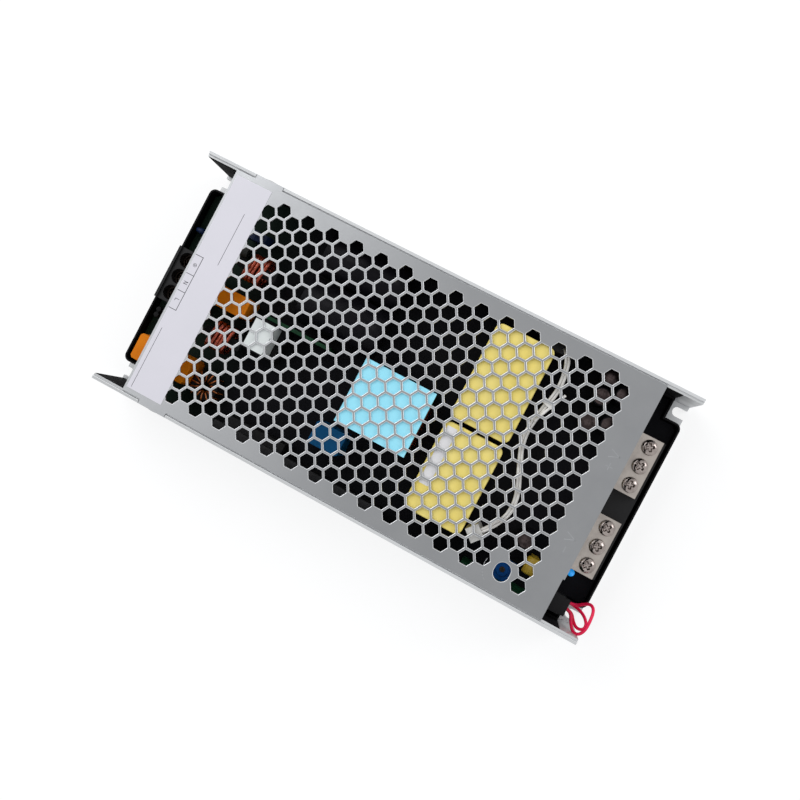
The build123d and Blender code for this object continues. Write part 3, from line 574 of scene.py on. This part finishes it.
tabScrews = {"x": -88.45, "radius": 2.4, "height": 0.45, "dome": 0.05, "sunk": 0.08, "turns": (0.4, 1.0)}
coverLow, coverHigh = boxOf("cover")
level = (coverLow[2] + coverHigh[2]) / 2
heads = []
for way, turn in zip((1, -1), tabScrews["turns"]):
    points, faces = crossHead(tabScrews["radius"], tabScrews["height"], tabScrews["dome"], turn)
    out = way * (caseHigh[1] - tabScrews["sunk"] + points[:, 2])
    heads.append((np.c_[tabScrews["x"] + points[:, 0], out, level - way * points[:, 1]], faces))
mesh("tab_screws", together(heads), "tabScrew")

rotorLow, rotorHigh = boxOf("trimmer_rotor")
rotorMiddle = (rotorLow + rotorHigh) / 2
dialSettings = {"edge": 0.2, "well": 1.35, "wellDepth": 0.25, "adjuster": 1.2, "height": 0.3, "dome": 0.05,
                "turn": 0.25}
tall = rotorHigh[2] - rotorLow[2]
dialReach = (rotorHigh[0] - rotorLow[0]) / 2
dial = revolve(((dialReach, 0.0), (dialReach, tall - dialSettings["edge"]),
                (dialReach - dialSettings["edge"], tall), (dialSettings["well"], tall),
                (dialSettings["well"], tall - dialSettings["wellDepth"])))
dialPiece = mesh("trimmer_dial", placed(dial, rotorMiddle[0], rotorMiddle[1], rotorLow[2]), "rotorBlue",
                 body=rotor, smooth=False)
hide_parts("trimmer_rotor")
adjuster = crossHead(dialSettings["adjuster"], dialSettings["height"], dialSettings["dome"],
                     dialSettings["turn"])
wellFloor = rotorHigh[2] - dialSettings["wellDepth"]
mesh("trimmer_adjuster", placed(adjuster, rotorMiddle[0], rotorMiddle[1], wellFloor), "adjuster", body=rotor)
print("screws and trimmer made")


# Wound chokes

windingSettings = {"halfY": 5.85, "halfZ": 5.8, "corner": 3.2, "wire": 0.88, "turns": 5, "pitch": 1.9,
                   "slant": 0.7, "stray": 0.22}


def windingTurns(low, high):
    # closed turns side by side, each leaning by the slant and a little off its even place
    x, y, z = (low + high) / 2
    outline = racetrack(windingSettings["halfY"], windingSettings["halfZ"], windingSettings["corner"])
    turns = []
    for turn in range(windingSettings["turns"]):
        place = (turn - (windingSettings["turns"] - 1) / 2) * windingSettings["pitch"]
        place += windingSettings["stray"] * math.sin(2.1 * turn + y)
        lean = windingSettings["slant"] * outline[:, 0] / windingSettings["halfY"]
        loop = np.c_[x + place + lean, y + outline[:, 0], z + outline[:, 1]]
        turns.append(tube(loop, windingSettings["wire"], 10, closed=True, lean=(1.0, 0.0, 0.0)))
    return together(turns)


for number in (1, 2):
    node = f"line_choke_winding_{number}"
    coil = mesh(f"line_choke_turns_{number}", windingTurns(*boxOf(node)), "copperEnamel")
    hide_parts(node)

ringSettings = {"halfWide": 2.3, "halfTall": 5.5, "corner": 1.6, "middle": 4.75, "wire": 0.42, "turns": 14}
centre = sum(boxOf("ring_choke")) / 2
outline = racetrack(ringSettings["halfWide"], ringSettings["halfTall"], ringSettings["corner"])
reach = ringSettings["middle"] + outline[:, 0]
loops = [tube(np.c_[centre[0] + reach * math.cos(angle), centre[1] + reach * math.sin(angle),
                    centre[2] + outline[:, 1]], ringSettings["wire"], 8, closed=True,
              lean=(-math.sin(angle), math.cos(angle), 0.0))
         for angle in np.arange(ringSettings["turns"]) * 2 * math.pi / ringSettings["turns"]]
mesh("ring_choke_turns", together(loops), "orangeEnamel")
print("chokes wound")


# Transformer tapes, with rounded corners, and the bare sticker on the second

tapeSettings = {"corner": 3.0, "edge": 0.5, "sticker": ((31.0, -28.9), (35.8, -1.5)), "stickerThick": 0.1}
for number in (1, 2):
    node = f"transformer_tape_{number}"
    shape = roundedBlock(*boxOf(node), tapeSettings["corner"], tapeSettings["edge"])
    tape = mesh(node + "_wrap", shape, "tapeYellow")
    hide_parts(node)
tapeTop = boxOf("transformer_tape_2")[1][2]
low, high = tapeSettings["sticker"]
mesh("transformer_sticker", roundedBlock((*low, tapeTop - 0.05), (*high, tapeTop + tapeSettings["stickerThick"]),
                                         0.6, 0.05), "stickerWhite")
print("transformers wrapped")


# Cans

def canBody(radius, height, edge=0.5):
    # a turned profile: a foot, a rolled groove near the top and a quarter circle at the rim
    turns = np.radians(np.linspace(0, 90, 5))
    rim = np.c_[radius - edge * (1 - np.cos(turns)), height - edge * (1 - np.sin(turns))]
    groove = ((radius, height * 0.80), (radius * 0.965, height * 0.82), (radius * 0.965, height * 0.84),
              (radius, height * 0.86))
    return revolve(np.array(((radius - 0.3, 0.0), (radius, 0.3), *groove, *rim)))


def canTop(radius):
    # a low disc with two scored lines across it
    disc = revolve(((radius * 0.86, 0.0), (radius * 0.86, 0.06), (radius * 0.82, 0.12)))
    lines = [block((-radius * 0.6, -0.09, 0.10), (radius * 0.6, 0.09, 0.16)),
             block((-0.09, -radius * 0.6, 0.10), (0.09, radius * 0.6, 0.16))]
    return together([disc] + lines)


outputCans = {"places": ((82.6, 48.4), (82.6, 39.6), (91.0, 44.0), (82.8, 27.6), (91.0, 30.0), (82.8, -29.5)),
              "radius": 4.0, "lid": 0.16}
canLow, canHigh = boxOf("output_capacitors")
canTall = canHigh[2] - canLow[2] - outputCans["lid"]
bodies = [placed(canBody(outputCans["radius"], canTall), x, y, canLow[2]) for x, y in outputCans["places"]]
tops = [placed(canTop(outputCans["radius"]), x, y, canLow[2] + canTall) for x, y in outputCans["places"]]
cans = mesh("output_cans", together(bodies), "sleeveDark")
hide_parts("output_capacitors")
mesh("output_can_tops", together(tops), "canTop")

bulkCans = {"slimmer": 0.05, "shorter": 0.1, "edge": 1.0}
for number in (1, 2):
    low, high = boxOf(f"bulk_capacitor_{number}")
    middle = (low + high) / 2
    can = canBody((high[2] - low[2]) / 2 - bulkCans["slimmer"], high[0] - low[0] - bulkCans["shorter"],
                  bulkCans["edge"])
    shape = placed(can, low[0], middle[1], middle[2], "X")
    bulk = mesh(f"bulk_can_{number}", shape, "sleeveDark")
    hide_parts(f"bulk_capacitor_{number}")

yellowSettings = {"place": (90.4, -38.6), "radius": 3.5, "length": 7.6, "level": 27.6, "standHalf": (1.8, 3.8)}
low = boxOf("sleeved_capacitor")[0]
x, y = yellowSettings["place"]
r, long = yellowSettings["radius"], yellowSettings["length"]
sleeve = placed(revolve(((1.6, 0.0), (r - 0.5, 0.0), (r, 0.5), (r, long - 0.5), (r - 0.5, long), (1.6, long))),
                x, y - long / 2, yellowSettings["level"], "Y")
wide, deep = yellowSettings["standHalf"]
stand = roundedBlock((x - wide, y - deep, low[2]), (x + wide, y + deep, yellowSettings["level"]), 0.5, 0.2)
yellow = mesh("sleeved_part", together([sleeve, stand]), "sleeveYellow")
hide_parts("sleeved_capacitor")

lampSettings = {"radius": 1.6, "straight": 4.4, "place": (106.5, -33.4), "bottom": 16.5, "leg": 0.25,
                "legApart": 0.635}
turns = np.linspace(0.0, 1.5, 9)
lampTurn = np.c_[lampSettings["radius"] * np.cos(turns), lampSettings["straight"] + lampSettings["radius"]
                 * np.sin(turns)]
dome = placed(revolve(np.array(((lampSettings["radius"], 0.0), *lampTurn)), 32), *lampSettings["place"],
              lampSettings["bottom"])
boardTop = boxOf("main_board")[1][2]
lampX, lampY = lampSettings["place"]
leg = lampSettings["leg"]
legs = [block((lampX + way * lampSettings["legApart"] - leg, lampY - leg, boardTop),
              (lampX + way * lampSettings["legApart"] + leg, lampY + leg, lampSettings["bottom"]))
        for way in (-1, 1)]
lampPiece = mesh("lamp_dome", together([dome] + legs), "lampBlue")
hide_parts("status_lamp")
print("cans and lamp made")


# Small parts on the board at the input end

discSettings = {"place": (-114.8, 23.4, 14.0), "profile": ((0.6, 0.0), (2.6, 0.5), (3.1, 1.4), (2.6, 2.3),
                                                            (0.6, 2.8)), "legs": (-116.0, -113.2), "legHalf": 0.2}
disc = placed(revolve(discSettings["profile"], 32), *discSettings["place"], "Y")
half = discSettings["legHalf"]
discY = discSettings["place"][1] + 1.4
legs = [block((x - half, discY - half, boardTop), (x + half, discY + half, discSettings["place"][2]))
        for x in discSettings["legs"]]
mesh("input_disc", together([disc] + legs), "epoxyBlue")

beadSettings = {"places": ((-114.8, -17.0), (-114.8, -19.7)), "radius": 1.3, "height": 8.0}
beads = [placed(canBody(beadSettings["radius"], beadSettings["height"], 0.4), x, y, boardTop)
         for x, y in beadSettings["places"]]
mesh("input_beads", together(beads), "beadGrey")
print("small parts made")


# Marks on the label and the cover

labelTop = boxOf("rating_label")[1][2]
labelSettings = {"line": 0.28, "thin": 0.2, "cellYs": (13.4, 4.2, -4.3, -13.0), "cellX": (-103.2, -99.5),
                 "rules": (((-92.0, 13.5), (-92.0, 39.0)), ((-101.5, -52.4), (-101.5, -22.8))),
                 "glyphX": -101.4, "ringTurns": 24, "ringReach": 0.62}
cellLeft, cellRight = labelSettings["cellX"]
cellYs = labelSettings["cellYs"]
marks = [stroke((cellLeft, y), (cellRight, y), labelSettings["line"], labelTop) for y in cellYs]
marks.append(stroke((cellRight, cellYs[0]), (cellRight, cellYs[-1]), labelSettings["line"], labelTop))
marks += [stroke(start, end, labelSettings["thin"], labelTop) for start, end in labelSettings["rules"]]


def glyph(strokes, y, size, width):
    # strokes given in a glyph's own right and up, turned to read from the input end
    x = labelSettings["glyphX"]
    return [stroke((x + start[1] * size, y - start[0] * size), (x + end[1] * size, y - end[0] * size), width,
                   labelTop) for start, end in strokes]


letterN = [((-0.3, -0.5), (-0.3, 0.5)), ((-0.3, 0.5), (0.3, -0.5)), ((0.3, -0.5), (0.3, 0.5))]
letterL = [((-0.25, 0.5), (-0.25, -0.5)), ((-0.25, -0.5), (0.3, -0.5))]
earthBars = [((0, 0.5), (0, 0.0)), ((-0.35, 0.0), (0.35, 0.0)), ((-0.22, -0.18), (0.22, -0.18)),
             ((-0.09, -0.36), (0.09, -0.36))]
turns = np.linspace(0, 2 * math.pi, labelSettings["ringTurns"] + 1)
ring = labelSettings["ringReach"] * np.c_[np.cos(turns), np.sin(turns)]
marks += glyph(earthBars + list(zip(ring[:-1], ring[1:])), 8.8, 1.3, 0.14)
marks += glyph(letterN, -0.1, 1.8, 0.24) + glyph(letterL, -8.6, 1.8, 0.24)
mesh("label_marks", together(marks), "labelInk", smooth=False)

coverTop = boxOf("cover")[1][2]
coverMarks = {
    "sunk": 0.005, "line": 0.32, "arcLine": 0.24, "arcReach": 8.2, "arcDegrees": (165.5, 232), "arcSteps": 8,
    "strokes": (((96.0, 21.5), (100.1, 19.8)), ((96.0, 18.1), (100.1, 19.8)), ((98.1, 12.9), (98.1, 15.9)),
                ((96.7, 14.4), (99.5, 14.4)),
                ((95.8, -17.6), (99.9, -19.3)), ((95.8, -21.0), (99.9, -19.3)), ((97.9, -26.0), (97.9, -23.6))),
}
level = coverTop - coverMarks["sunk"]
etched = [stroke(start, end, coverMarks["line"], level) for start, end in coverMarks["strokes"]]
turns = np.radians(np.linspace(*coverMarks["arcDegrees"], coverMarks["arcSteps"]))
arc = rotorMiddle[:2] + coverMarks["arcReach"] * np.c_[np.cos(turns), np.sin(turns)]
etched += [stroke(a, b, coverMarks["arcLine"], level) for a, b in zip(arc, arc[1:])]
mesh("cover_marks", together(etched), "etchedMark", smooth=False)
print("marks made")


# Floor, light and background

def seenDirectly(tree):
    # 1 for a ray from the camera, or one that metal or glass has sent on, and 0 for the rays that light
    rays = tree.nodes.new("ShaderNodeLightPath")
    sums = [tree.nodes.new("ShaderNodeMath") for step in range(2)]
    for step in sums:
        step.operation = "MAXIMUM"
    tree.links.new(rays.outputs["Is Camera Ray"], sums[0].inputs[0])
    tree.links.new(rays.outputs["Is Glossy Ray"], sums[0].inputs[1])
    tree.links.new(sums[0].outputs[0], sums[1].inputs[0])
    tree.links.new(rays.outputs["Is Transmission Ray"], sums[1].inputs[1])
    return sums[1].outputs[0]


def floorMaterial():
    # the camera and metal see part plain white and part lit floor, so the object's shadow stays on it
    material = bpy.data.materials.new("floor_white")
    material.use_nodes = True
    tree = material.node_tree
    tree.nodes.clear()
    output = tree.nodes.new("ShaderNodeOutputMaterial")
    pale = tree.nodes.new("ShaderNodeBsdfDiffuse")
    pale.inputs["Color"].default_value = (0.8, 0.8, 0.8, 1)
    white = tree.nodes.new("ShaderNodeEmission")
    white.inputs["Color"].default_value = (1, 1, 1, 1)
    white.inputs["Strength"].default_value = stageSettings["floorGlow"]
    share = tree.nodes.new("ShaderNodeMath")
    share.operation = "MULTIPLY"
    share.inputs[1].default_value = stageSettings["floorGlowShare"]
    choose = tree.nodes.new("ShaderNodeMixShader")
    tree.links.new(seenDirectly(tree), share.inputs[0])
    tree.links.new(share.outputs[0], choose.inputs["Fac"])
    tree.links.new(pale.outputs["BSDF"], choose.inputs[1])
    tree.links.new(white.outputs["Emission"], choose.inputs[2])
    tree.links.new(choose.outputs["Shader"], output.inputs["Surface"])
    return material


stageSettings = {"floorHalf": 3.0, "floorDrop": 0.0002, "floorGlow": 1.25, "floorGlowShare": 0.6,
                 "skyColour": (0.95, 0.97, 1.0), "skyStrength": 0.62,
                 "key": {"place": (-0.75, 0.35, 0.85), "size": 0.8, "power": 5.0},
                 "fill": {"place": (0.8, 0.7, 0.6), "size": 0.5, "power": 3.0}}

half = stageSettings["floorHalf"]
floorData = bpy.data.meshes.new("floor")
floorCorners = [(-half, -half, 0), (half, -half, 0), (half, half, 0), (-half, half, 0)]
floorData.from_pydata(floorCorners, [], [(0, 1, 2, 3)])
floorData.materials.append(floorMaterial())
floor = bpy.data.objects.new("floor", floorData)
floor.location.z = -stageSettings["floorDrop"]
bpy.context.collection.objects.link(floor)

world = bpy.data.worlds.new("studio")
bpy.context.scene.world = world
world.use_nodes = True
tree = world.node_tree
tree.nodes.clear()
worldOut = tree.nodes.new("ShaderNodeOutputWorld")
sky = tree.nodes.new("ShaderNodeBackground")
sky.inputs["Color"].default_value = (*stageSettings["skyColour"], 1)
sky.inputs["Strength"].default_value = stageSettings["skyStrength"]
bright = tree.nodes.new("ShaderNodeBackground")
bright.inputs["Color"].default_value = (1, 1, 1, 1)
bright.inputs["Strength"].default_value = 1.0
choose = tree.nodes.new("ShaderNodeMixShader")
tree.links.new(seenDirectly(tree), choose.inputs["Fac"])
tree.links.new(sky.outputs["Background"], choose.inputs[1])
tree.links.new(bright.outputs["Background"], choose.inputs[2])
tree.links.new(choose.outputs["Shader"], worldOut.inputs["Surface"])

for name in ("key", "fill"):
    settings = stageSettings[name]
    data = bpy.data.lights.new(name, "AREA")
    data.shape = "SQUARE"
    data.size = settings["size"]
    data.energy = settings["power"]
    lamp = bpy.data.objects.new(name, data)
    lamp.location = settings["place"]
    lamp.rotation_euler = (-Vector(settings["place"])).to_track_quat("-Z", "Y").to_euler()
    bpy.context.collection.objects.link(lamp)

bpy.context.scene.view_settings.view_transform = "Standard"
print("stage set")
